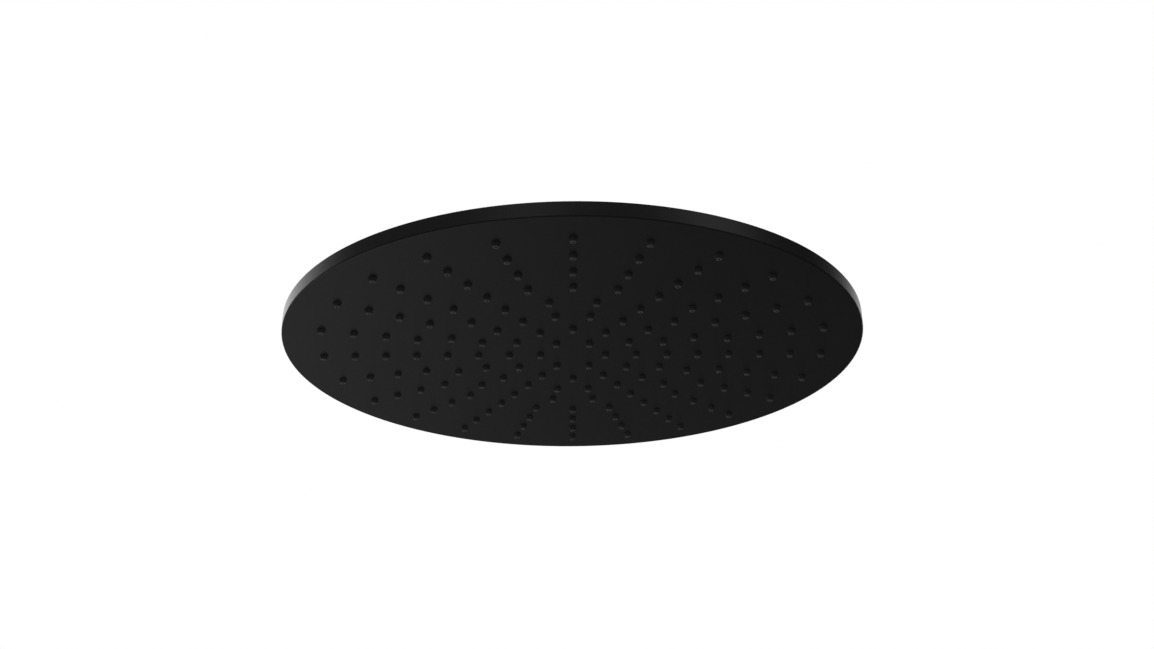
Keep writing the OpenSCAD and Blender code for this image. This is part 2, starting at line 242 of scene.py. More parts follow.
def select_where(piece, kind, passes):
    """In edit mode, selects the points (VERT) or faces (FACE) of a piece that pass a test."""
    pick(piece)
    bpy.ops.object.mode_set(mode="EDIT")
    bpy.ops.mesh.select_mode(type=kind)
    bpy.ops.mesh.select_all(action="DESELECT")
    bpy.ops.object.mode_set(mode="OBJECT")
    for each in piece.data.vertices if kind == "VERT" else piece.data.polygons:
        each.select = passes(each)
    bpy.ops.object.mode_set(mode="EDIT")


def copies(piece, places, name):
    """One object made of a copy of piece at every place, a list of matrices. The original goes."""
    made = []
    for place in places:
        each = piece.copy()
        each.data = piece.data.copy()
        bpy.context.collection.objects.link(each)
        each.data.transform(place)
        made.append(each)
    bpy.data.objects.remove(piece)
    pick(*made)
    if len(made) > 1:
        bpy.ops.object.join()
    joined = bpy.context.object
    joined.name = name
    return joined


def combine(piece, tool, operation):
    """Cuts tool out of piece, or joins it on, and removes the tool."""
    apply_modifier(piece, "BOOLEAN", object=tool, operation=operation, solver="MANIFOLD")
    bpy.data.objects.remove(tool)
    return piece


def smooth(piece, angle=32):
    """Smooth shading that keeps the edges sharper than angle and leaves broad flat faces flat."""
    pick(piece)
    bpy.ops.object.shade_smooth_by_angle(angle=math.radians(angle))
    apply_modifier(piece, "WEIGHTED_NORMAL", keep_sharp=True)
    return piece


def circle_of(count, radius, start=0.0):
    """Places around the Z axis. start is in degrees from +X."""
    return [
        Matrix.Rotation(math.radians(start + 360 * i / count), 4, "Z")
        @ Matrix.Translation((radius, 0, 0))
        for i in range(count)
    ]


def nozzle_places(sizes):
    """The place of every nozzle."""
    places = []
    for k, (count, start) in enumerate(zip(RING_COUNTS, RING_STARTS)):
        places += circle_of(count, sizes.first_ring + k * sizes.ring_pitch, start - 90)
    return places


def arc(centre_r, centre_z, radius, start, end, count):
    """Points on an arc of a profile, with angles in degrees from the +R direction towards +Z."""
    return [
        (centre_r + radius * math.cos(math.radians(start + (end - start) * i / count)),
         centre_z + radius * math.sin(math.radians(start + (end - start) * i / count)))
        for i in range(count + 1)
    ]


def stands_for(piece, body, slot, material, *nodes):
    """Finishes a piece: its body and material, and the CAD nodes that it stands for. The slot is not used."""
    piece.data.materials.clear()
    piece.data.materials.append(material)
    smooth(piece)
    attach(piece, body)
    if nodes:
        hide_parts(*nodes)
    return piece


# ---------------------------------------------------------------- shader groups and materials

def group_socket(tree, name, direction, kind, default=None):
    """Adds an input or an output to a node group."""
    socket = tree.interface.new_socket(name=name, in_out=direction, socket_type=kind)
    if default is not None:
        socket.default_value = default


def node_of(tree, kind, **settings):
    """Adds a node with its settings."""
    node = tree.nodes.new(kind)
    for key, value in settings.items():
        setattr(node, key, value)
    return node


def grain_group():
    """Fine surface grain: a colour between two shades, a roughness and a height for a bump."""
    if "fine_grain" in bpy.data.node_groups:
        return bpy.data.node_groups["fine_grain"]
    tree = bpy.data.node_groups.new("fine_grain", "ShaderNodeTree")
    group_socket(tree, "Shade A", "INPUT", "NodeSocketColor", (0.02, 0.02, 0.02, 1))
    group_socket(tree, "Shade B", "INPUT", "NodeSocketColor", (0.03, 0.03, 0.03, 1))
    group_socket(tree, "Grain Scale", "INPUT", "NodeSocketFloat", 2500.0)
    group_socket(tree, "Cloud Scale", "INPUT", "NodeSocketFloat", 25.0)
    group_socket(tree, "Rough Low", "INPUT", "NodeSocketFloat", 0.4)
    group_socket(tree, "Rough High", "INPUT", "NodeSocketFloat", 0.5)
    group_socket(tree, "Color", "OUTPUT", "NodeSocketColor")
    group_socket(tree, "Roughness", "OUTPUT", "NodeSocketFloat")
    group_socket(tree, "Height", "OUTPUT", "NodeSocketFloat")
    inputs = node_of(tree, "NodeGroupInput")
    outputs = node_of(tree, "NodeGroupOutput")
    place = node_of(tree, "ShaderNodeTexCoord")
    grain = node_of(tree, "ShaderNodeTexNoise")
    grain.inputs["Detail"].default_value = 3
    grain.inputs["Roughness"].default_value = 0.6
    cloud = node_of(tree, "ShaderNodeTexNoise")
    cloud.inputs["Detail"].default_value = 4
    link = tree.links.new
    link(place.outputs["Object"], grain.inputs["Vector"])
    link(place.outputs["Object"], cloud.inputs["Vector"])
    link(inputs.outputs["Grain Scale"], grain.inputs["Scale"])
    link(inputs.outputs["Cloud Scale"], cloud.inputs["Scale"])
    blend = node_of(tree, "ShaderNodeMath", operation="MULTIPLY_ADD")
    link(grain.outputs["Fac"], blend.inputs[0])
    blend.inputs[1].default_value = 0.5
    half = node_of(tree, "ShaderNodeMath", operation="MULTIPLY")
    link(cloud.outputs["Fac"], half.inputs[0])
    half.inputs[1].default_value = 0.5
    link(half.outputs[0], blend.inputs[2])
    spread = node_of(tree, "ShaderNodeMapRange")
    spread.inputs["From Min"].default_value = 0.35
    spread.inputs["From Max"].default_value = 0.65
    link(blend.outputs[0], spread.inputs["Value"])
    shade = node_of(tree, "ShaderNodeMix", data_type="RGBA")
    link(spread.outputs["Result"], shade.inputs["Factor"])
    link(inputs.outputs["Shade A"], shade.inputs["A"])
    link(inputs.outputs["Shade B"], shade.inputs["B"])
    rough = node_of(tree, "ShaderNodeMapRange")
    link(blend.outputs[0], rough.inputs["Value"])
    rough.inputs["From Min"].default_value = 0.35
    rough.inputs["From Max"].default_value = 0.65
    link(inputs.outputs["Rough Low"], rough.inputs["To Min"])
    link(inputs.outputs["Rough High"], rough.inputs["To Max"])
    link(shade.outputs["Result"], outputs.inputs["Color"])
    link(rough.outputs["Result"], outputs.inputs["Roughness"])
    link(grain.outputs["Fac"], outputs.inputs["Height"])
    return tree


def turning_group():
    """The fine rings that a lathe leaves: a height and a streak mask that change with radius and height."""
    if "lathe_rings" in bpy.data.node_groups:
        return bpy.data.node_groups["lathe_rings"]
    tree = bpy.data.node_groups.new("lathe_rings", "ShaderNodeTree")
    group_socket(tree, "Ring Scale", "INPUT", "NodeSocketFloat", 4000.0)
    group_socket(tree, "Height", "OUTPUT", "NodeSocketFloat")
    group_socket(tree, "Streak", "OUTPUT", "NodeSocketFloat")
    inputs = node_of(tree, "NodeGroupInput")
    outputs = node_of(tree, "NodeGroupOutput")
    place = node_of(tree, "ShaderNodeTexCoord")
    split = node_of(tree, "ShaderNodeSeparateXYZ")
    link = tree.links.new
    link(place.outputs["Object"], split.inputs[0])
    squares = []
    for axis in ("X", "Y"):
        square = node_of(tree, "ShaderNodeMath", operation="MULTIPLY")
        link(split.outputs[axis], square.inputs[0])
        link(split.outputs[axis], square.inputs[1])
        squares.append(square)
    total = node_of(tree, "ShaderNodeMath", operation="ADD")
    link(squares[0].outputs[0], total.inputs[0])
    link(squares[1].outputs[0], total.inputs[1])
    radius = node_of(tree, "ShaderNodeMath", operation="SQRT")
    link(total.outputs[0], radius.inputs[0])
    both = node_of(tree, "ShaderNodeMath", operation="ADD")
    link(radius.outputs[0], both.inputs[0])
    link(split.outputs["Z"], both.inputs[1])
    rings = node_of(tree, "ShaderNodeTexNoise", noise_dimensions="1D")
    rings.inputs["Detail"].default_value = 2
    link(both.outputs[0], rings.inputs["W"])
    link(inputs.outputs["Ring Scale"], rings.inputs["Scale"])
    spread = node_of(tree, "ShaderNodeMapRange")
    spread.inputs["From Min"].default_value = 0.35
    spread.inputs["From Max"].default_value = 0.65
    link(rings.outputs["Fac"], spread.inputs["Value"])
    link(rings.outputs["Fac"], outputs.inputs["Height"])
    link(spread.outputs["Result"], outputs.inputs["Streak"])
    return tree


def finish(name, shade, spread=1.25, grain=2500.0, cloud=25.0, rough=(0.4, 0.5), bump=0.15,
           bump_depth=0.00002, metallic=0.0, specular=0.5, rings=0.0):
    """A material from the shared groups. spread is how much lighter the second shade is."""
    if name in bpy.data.materials:
        return bpy.data.materials[name]
    material = bpy.data.materials.new(name)
    material.use_nodes = True
    tree = material.node_tree
    tree.nodes.clear()
    link = tree.links.new
    shader = node_of(tree, "ShaderNodeBsdfPrincipled")
    shader.inputs["Metallic"].default_value = metallic
    shader.inputs["Specular IOR Level"].default_value = specular
    surface = node_of(tree, "ShaderNodeGroup", node_tree=grain_group())
    surface.inputs["Shade A"].default_value = (*shade, 1)
    surface.inputs["Shade B"].default_value = (*[min(1.0, c * spread) for c in shade], 1)
    surface.inputs["Grain Scale"].default_value = grain
    surface.inputs["Cloud Scale"].default_value = cloud
    surface.inputs["Rough Low"].default_value = rough[0]
    surface.inputs["Rough High"].default_value = rough[1]
    dent = node_of(tree, "ShaderNodeBump")
    dent.inputs["Strength"].default_value = bump
    dent.inputs["Distance"].default_value = bump_depth
    output = node_of(tree, "ShaderNodeOutputMaterial")
    link(surface.outputs["Color"], shader.inputs["Base Color"])
    link(surface.outputs["Height"], dent.inputs["Height"])
    if rings:
        marks = node_of(tree, "ShaderNodeGroup", node_tree=turning_group())
        marks.inputs["Ring Scale"].default_value = rings
        ringed = node_of(tree, "ShaderNodeBump")
        ringed.inputs["Strength"].default_value = bump
        ringed.inputs["Distance"].default_value = bump_depth
        link(marks.outputs["Height"], ringed.inputs["Height"])
        link(dent.outputs["Normal"], ringed.inputs["Normal"])
        link(ringed.outputs["Normal"], shader.inputs["Normal"])
        rougher = node_of(tree, "ShaderNodeMath", operation="MULTIPLY_ADD")
        link(marks.outputs["Streak"], rougher.inputs[0])
        rougher.inputs[1].default_value = 0.08
        link(surface.outputs["Roughness"], rougher.inputs[2])
        link(rougher.outputs[0], shader.inputs["Roughness"])
    else:
        link(dent.outputs["Normal"], shader.inputs["Normal"])
        link(surface.outputs["Roughness"], shader.inputs["Roughness"])
    link(shader.outputs["BSDF"], output.inputs["Surface"])
    return material


def shell_finish():
    return finish("matt_black_shell", bpy.context.scene.shower_finishes.shell, spread=1.18,
                  grain=2600, cloud=9, rough=(0.33, 0.4), bump=0.12, bump_depth=8e-6)


def nozzle_finish():
    return finish("moulded_silicone", bpy.context.scene.shower_finishes.nozzles, spread=1.2,
                  grain=4000, cloud=180, rough=(0.42, 0.55), bump=0.1, bump_depth=1e-5, specular=0.4)


def fitting_finish():
    return finish("matt_black_metal", bpy.context.scene.shower_finishes.fittings, spread=1.3,
                  grain=5200, cloud=60, rough=(0.36, 0.46), bump=0.16, bump_depth=1e-5, specular=0.5,
                  rings=3500)


def screw_finish():
    return finish("blackened_steel", (0.03, 0.03, 0.032), spread=1.5, grain=6000, cloud=400,
                  rough=(0.3, 0.42), bump=0.15, bump_depth=8e-6, metallic=0.85)


def steel_finish():
    return finish("bright_steel", (0.55, 0.55, 0.56), spread=1.15, grain=5000, cloud=300,
                  rough=(0.22, 0.36), bump=0.12, bump_depth=8e-6, metallic=1.0)


def brass_finish():
    return finish("turned_brass", (0.62, 0.44, 0.17), spread=1.18, grain=5000, cloud=120,
                  rough=(0.24, 0.36), bump=0.2, bump_depth=1e-5, metallic=1.0, rings=5200)


def rubber_finish():
    return finish("moulded_rubber", (0.016, 0.016, 0.016), spread=1.5, grain=3200, cloud=90,
                  rough=(0.62, 0.78), bump=0.25, bump_depth=1.5e-5, specular=0.35)


def acetal_finish():
    return finish("turned_acetal", (0.68, 0.67, 0.62), spread=1.06, grain=2200, cloud=70,
                  rough=(0.32, 0.44), bump=0.15, bump_depth=1e-5, rings=2600)


def moulded_finish():
    return finish("white_moulding", (0.62, 0.62, 0.59), spread=1.08, grain=1800, cloud=40,
                  rough=(0.42, 0.55), bump=0.2, bump_depth=1.5e-5)


def regulator_finish():
    return finish("green_moulding", (0.06, 0.24, 0.11), spread=1.2, grain=1800, cloud=90,
                  rough=(0.28, 0.4), bump=0.15, bump_depth=1.2e-5)


# ---------------------------------------------------------------- the pieces

class SHOWER_OT_face_plate(bpy.types.Operator):
    """Thin round shell with a straight rim and a chamfered hole for every nozzle"""

    bl_idname = "shower.face_plate"
    bl_label = "Face Plate"

    def execute(self, context):
        sizes = context.scene.shower_sizes
        rim_top = FACE_Z + sizes.rim_height
        bend = sizes.rim_round
        inner_r = HEAD_R - sizes.wall
        profile = [(0, FACE_Z)]
        profile += arc(HEAD_R - bend, FACE_Z + bend, bend, -90, 0, 6)
        profile += arc(HEAD_R - bend / 2, rim_top - bend / 2, bend / 2, 0, 90, 4)
        profile += [(inner_r + 0.2 * MM, rim_top), (inner_r, rim_top - 0.2 * MM)]
        profile += arc(inner_r - MM, FLOOR_Z + MM, MM, 0, -90, 4)
        profile += [(0, FLOOR_Z)]
        plate = turned("face_plate_shell", profile, steps=360, close=False)
        hole = sizes.nub_base + 0.06 * MM
        flare = 0.06 * MM
        cutter = turned("nozzle_hole", [
            (0, FACE_Z - MM), (hole + flare + MM, FACE_Z - MM), (hole, FACE_Z + flare),
            (hole, FLOOR_Z + MM), (0, FLOOR_Z + MM)], steps=24, close=False)
        cutters = copies(cutter, nozzle_places(sizes), "nozzle_holes")
        combine(plate, cutters, "DIFFERENCE")
        stands_for(plate, "head", "black_shell", shell_finish(), "face_plate")
        return {"FINISHED"}


class SHOWER_OT_nozzle_mat(bpy.types.Operator):
    """Silicone mat with a tapered, hollow nub through every hole of the face plate"""

    bl_idname = "shower.nozzle_mat"
    bl_label = "Nozzle Mat"

    def execute(self, context):
        sizes = context.scene.shower_sizes
        tip_z, top_z = MAT_LOW.z, MAT_HIGH.z
        base, tip, bore = sizes.nub_base, sizes.nub_tip, sizes.outlet
        soft = 0.6 * MM
        outline = [
            (bore, top_z - 0.3 * MM), (base, top_z - 0.3 * MM), (base, FACE_Z),
            *arc(tip - soft, tip_z + soft, soft, 0, -90, 4), (bore + 0.06 * MM, tip_z),
            (bore, tip_z + 0.06 * MM)]
        nub = turned("nub", outline, steps=16)
        nubs = copies(nub, nozzle_places(sizes), "nubs")
        mat = turned("nozzle_mat_moulding", [
            (0, FLOOR_Z), (MAT_HIGH.x - 0.3 * MM, FLOOR_Z), (MAT_HIGH.x, FLOOR_Z + 0.3 * MM),
            (MAT_HIGH.x, top_z - 0.3 * MM), (MAT_HIGH.x - 0.3 * MM, top_z), (0, top_z)],
            steps=180, close=False)
        hole = turned("mat_hole", [
            (0, FLOOR_Z - MM), (1.2 * MM, FLOOR_Z - MM), (1.2 * MM, top_z + MM), (0, top_z + MM)],
            steps=16, close=False)
        combine(mat, copies(hole, nozzle_places(sizes), "mat_holes"), "DIFFERENCE")
        combine(mat, nubs, "UNION")
        stands_for(mat, "head", "black_silicone", nozzle_finish(), "nozzle_mat")
        return {"FINISHED"}


class SHOWER_OT_back_cover(bpy.types.Operator):
    """Shallow cone that closes the chamber, with a screw ledge inside the rim"""

    bl_idname = "shower.back_cover"
    bl_label = "Back Cover"

    def execute(self, context):
        sizes = context.scene.shower_sizes
        under_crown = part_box("socket_screws")[0].z + 2.2 * MM
        crown_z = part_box("socket_gasket")[0].z
        wall = crown_z - under_crown
        edge_top = FACE_Z + sizes.rim_height - 0.4 * MM
        edge_r = COVER_HIGH.x
        step_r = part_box("perimeter_seal")[1].x - 0.4 * MM
        cone_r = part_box("perimeter_seal")[1].x - 2.8 * MM
        cone_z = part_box("mat_retainer")[1].z + MM
        hub_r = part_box("socket_gasket")[1].x
        round_r = 0.35 * MM
        profile = [
            (CHAMBER_PORT, under_crown), (sizes.crown, under_crown), (cone_r, cone_z), (cone_r, LEDGE_Z),
            (edge_r, LEDGE_Z)]
        profile += arc(edge_r - round_r, edge_top - round_r, round_r, 0, 90, 4)
        profile += [(step_r + 0.6 * MM, edge_top)]
        profile += [(step_r + 0.1 * MM, edge_top + 0.15 * MM), (cone_r + 0.4 * MM, cone_z + wall - 0.12 * MM)]
        profile += [(cone_r - 0.8 * MM, cone_z + wall + 0.04 * MM)]
        profile += [(sizes.crown + 2.5 * MM, crown_z - 0.22 * MM), (sizes.crown - MM, crown_z)]
        profile += [(hub_r + 1.2 * MM, crown_z), (hub_r + 1.0 * MM, crown_z - 0.3 * MM)]
        profile += [(hub_r + 0.5 * MM, crown_z - 0.3 * MM), (hub_r + 0.3 * MM, crown_z)]
        profile += [(CHAMBER_PORT, crown_z)]
        cover = turned("back_cover_shell", profile, steps=360)
        inner_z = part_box("inner_screw_seals")[0].z
        inner_places = screw_circle("inner")
        pad_low = inner_z - 2.6 * MM
        pad = turned("cover_pad", [
            (0, pad_low), (3.8 * MM, pad_low), (3.8 * MM, inner_z + 0.05 * MM), (0, inner_z + 0.05 * MM)],
            steps=32, close=False)
        combine(cover, copies(pad, inner_places, "cover_pads"), "UNION")
        spot = turned("spot_face", [
            (0, inner_z), (3.8 * MM, inner_z), (4.1 * MM, inner_z + 0.4 * MM), (4.1 * MM, inner_z + 5 * MM),
            (0, inner_z + 5 * MM)], steps=32, close=False)
        combine(cover, copies(spot, inner_places, "spot_faces"), "DIFFERENCE")
        outer_places = screw_circle("outer")
        sink = turned("countersink", [
            (0, LEDGE_Z - MM), (1.65 * MM, LEDGE_Z - MM), (1.65 * MM, edge_top - 1.1 * MM),
            (3.15 * MM, edge_top + 0.4 * MM), (3.15 * MM, edge_top + MM), (0, edge_top + MM)],
            steps=32, close=False)
        combine(cover, copies(sink, outer_places, "countersinks"), "DIFFERENCE")
        stands_for(cover, "head", "black_shell", shell_finish(), "back_cover")
        return {"FINISHED"}


def screw_circle(which):
    """The places of the cover's screws: midway over its edge, or halfway between two nozzle rings."""
    if which == "outer":
        return circle_of(
            OUTER_SCREWS, (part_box("perimeter_seal")[1].x + COVER_HIGH.x + 0.15 * MM) / 2, SCREW_TURN)
    sizes = bpy.context.scene.shower_sizes
    return circle_of(INNER_SCREWS, sizes.first_ring + 4.5 * sizes.ring_pitch, SCREW_TURN - 90)


class SHOWER_OT_cover_screws(bpy.types.Operator):
    """The cover's countersunk and pan head screws, with the pan heads' sealing washers"""

    bl_idname = "shower.cover_screws"
    bl_label = "Cover Screws"

    def execute(self, context):
        low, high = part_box("outer_cover_screws")
        top = high.z
        screw = turned("outer_screw", [
            (0, low.z), (1.2 * MM, low.z), (1.5 * MM, low.z + 0.3 * MM), (1.5 * MM, top - 1.1 * MM),
            (2.5 * MM, top - 0.14 * MM), (2.5 * MM, top - 0.06 * MM), (2.42 * MM, top), (0, top)],
            steps=40, close=False)
        socket = prism("hex_socket", 6, 1.1 * MM, top - 0.8 * MM, top + MM)
        combine(screw, socket, "DIFFERENCE")
        rounded(screw, 0.05 * MM, 2, 40)
        screws = copies(screw, screw_circle("outer"), "outer_cover_screws_set")
        stands_for(screws, "head", "black_screws", screw_finish(), "outer_cover_screws")

        low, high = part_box("inner_cover_screws")
        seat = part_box("inner_screw_seals")[1].z
        top = high.z
        head_r = 2.9 * MM
        crown = [(head_r - 0.02 * MM, seat + 0.7 * MM), (head_r - 0.25 * MM, seat + 1.25 * MM)]
        crown += [(head_r - 0.75 * MM, top - 0.16 * MM), (head_r - 1.35 * MM, top), (0, top)]
        screw = turned("inner_screw", [
            (0, low.z), (1.2 * MM, low.z), (1.5 * MM, low.z + 0.3 * MM), (1.5 * MM, seat),
            (head_r - 0.1 * MM, seat), (head_r, seat + 0.12 * MM), *crown], steps=40, close=False)
        combine(screw, prism("hex_socket", 6, 1.2 * MM, top - 1.1 * MM, top + MM), "DIFFERENCE")
        rounded(screw, 0.06 * MM, 2, 40)
        screws = copies(screw, screw_circle("inner"), "inner_cover_screws_set")
        stands_for(screws, "head", "black_screws", screw_finish(), "inner_cover_screws")

        low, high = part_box("inner_screw_seals")
        washer = turned("screw_seal", [
            (1.65 * MM, low.z), (3.3 * MM, low.z), *arc(3.1 * MM, (low.z + high.z) / 2, 0.4 * MM, -60, 60, 4),
            (3.3 * MM, high.z), (1.65 * MM, high.z)], steps=40)
        washers = copies(washer, screw_circle("inner"), "inner_screw_seals_set")
        stands_for(washers, "head", "seal_rubber", rubber_finish(), "inner_screw_seals")
        return {"FINISHED"}


class SHOWER_OT_socket(bpy.types.Operator):
    """Flanged cup that holds the ball, and the gasket under its flange"""

    bl_idname = "shower.socket"
    bl_label = "Socket and Gasket"

    def execute(self, context):
        low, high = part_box("socket_body")
        flange_r = high.x
        flange_top = low.z + 4.4 * MM
        bore, tube = SOCKET_BORE, SOCKET_TUBE
        floor = low.z + 2 * MM
        port = BALL_R * 0.72
        body = turned("socket_cup", [
            (port, low.z), (flange_r - 0.3 * MM, low.z), (flange_r, low.z + 0.3 * MM),
            (flange_r, flange_top - 0.9 * MM), (flange_r - 0.9 * MM, flange_top),
            (tube + 4.4 * MM, flange_top), (tube + 4.2 * MM, flange_top - 0.4 * MM),
            (tube + 3.9 * MM, flange_top - 0.4 * MM), (tube + 3.7 * MM, flange_top),
            (tube, flange_top), (tube, high.z - 0.4 * MM), (tube - 0.4 * MM, high.z), (bore, high.z),
            (bore, floor), (port, floor)], steps=144)
        rounded(body, 0.15 * MM, 2, 35)
        stands_for(body, "head", "black_metal", fitting_finish(), "socket_body")

        low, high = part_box("socket_gasket")
        middle = (low.z + high.z) / 2
        gasket = turned("socket_gasket_ring", [
            (CHAMBER_PORT, low.z), (high.x - 0.25 * MM, low.z),
            *arc(high.x - 0.5 * MM, middle, 0.5 * MM, -60, 60, 6),
            (high.x - 0.25 * MM, high.z), (CHAMBER_PORT, high.z)], steps=144)
        stands_for(gasket, "head", "seal_rubber", rubber_finish(), "socket_gasket")
        return {"FINISHED"}


class SHOWER_OT_collar_nut(bpy.types.Operator):
    """Knurled ring nut that closes the joint over the ball"""

    bl_idname = "shower.collar_nut"
    bl_label = "Collar Nut"

    def execute(self, context):
        sizes = context.scene.shower_sizes
        low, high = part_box("collar_nut")
        outer = high.x
        inner_sphere = BALL_R + BALL_GAP + RING_WALL + BALL_GAP
        skirt = SOCKET_TUBE + BALL_GAP
        shoulder = JOINT_Z + MM
        lip_r = 9.8 * MM
        lip_angle = math.degrees(math.acos(lip_r / inner_sphere))
        start_angle = math.degrees(math.asin(MM / inner_sphere))
        band_low, band_high = low.z + 1.6 * MM, high.z - 5.2 * MM
        profile = [(skirt, low.z), (outer - 0.8 * MM, low.z), (outer, low.z + 0.8 * MM)]
        profile += [(outer, band_low - 0.3 * MM), (outer, band_low), (outer, band_high)]
        profile += [(outer, band_high + 0.3 * MM), (outer, high.z - 4.2 * MM)]
        profile += arc(outer - 3.0 * MM, high.z - 4.2 * MM, 3.0 * MM, 8, 52, 6)
        profile += [(outer - 5.0 * MM, high.z - 0.25 * MM), (outer - 6.0 * MM, high.z)]
        profile += [(lip_r + 0.5 * MM, high.z), (lip_r, high.z - 0.5 * MM)]
        profile += arc(0, JOINT_Z, inner_sphere, lip_angle, start_angle, 12)
        profile += [(skirt, shoulder)]
        ribs = sizes.knurl_count
        nut = turned("collar_nut_knurled", profile, steps=ribs * 4)
        self.press_knurl(nut, ribs, outer, band_low, band_high, sizes.knurl_depth)
        stands_for(nut, "head", "black_metal", fitting_finish(), "collar_nut")
        return {"FINISHED"}

    @staticmethod
    def press_knurl(nut, ribs, outer, low, high, depth):
        """Pushes every fourth column of points inwards between two heights."""
        def in_groove(vertex):
            on_wall = abs(math.hypot(vertex.co.x, vertex.co.y) - outer) < 0.02 * MM
            turn = math.atan2(vertex.co.y, vertex.co.x) / (2 * math.pi) * ribs * 4
            return on_wall and low - 0.01 * MM < vertex.co.z < high + 0.01 * MM and round(turn) % 4 == 0

        select_where(nut, "VERT", in_groove)
        keep = 1 - depth / outer
        bpy.ops.transform.resize(value=(keep, keep, 1), center_override=(0, 0, 0))
        bpy.ops.object.mode_set(mode="OBJECT")


class SHOWER_OT_ball_rings(bpy.types.Operator):
    """The two plastic bearing rings and the seal around the ball"""

    bl_idname = "shower.ball_rings"
    bl_label = "Ball Rings"

    def execute(self, context):
        ball_side = BALL_R + BALL_GAP
        outer = ball_side + RING_WALL
        low, high = (corner.z - JOINT_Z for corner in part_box("upper_liner"))
        inside = [math.degrees(math.asin(z / ball_side)) for z in (low, high)]
        outside = [math.degrees(math.asin(z / outer)) for z in (low, high)]
        liner = turned("upper_liner_ring", [
            *arc(0, JOINT_Z, ball_side, inside[1], inside[0], 10),
            *arc(0, JOINT_Z, outer, outside[0], outside[1], 10)], steps=120)
        rounded(liner, 0.15 * MM, 2, 35)
        stands_for(liner, "swivel_ring", "ring_plastic", acetal_finish(), "upper_liner")
        for node, body, slot, material in (
                ("seat_ring", "tilt_ring", "ring_plastic", acetal_finish()),
                ("ball_seal", "head", "seal_rubber", rubber_finish())):
            low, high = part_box(node)
            inside = [math.degrees(math.asin((z - JOINT_Z) / ball_side)) for z in (high.z, low.z)]
            ring = turned(node + "_turned", [
                *arc(0, JOINT_Z, ball_side, inside[0], inside[1], 10),
                (high.x, low.z), (high.x, high.z)], steps=120)
            rounded(ring, 0.12 * MM, 2, 35)
            stands_for(ring, body, slot, material, node)
        return {"FINISHED"}


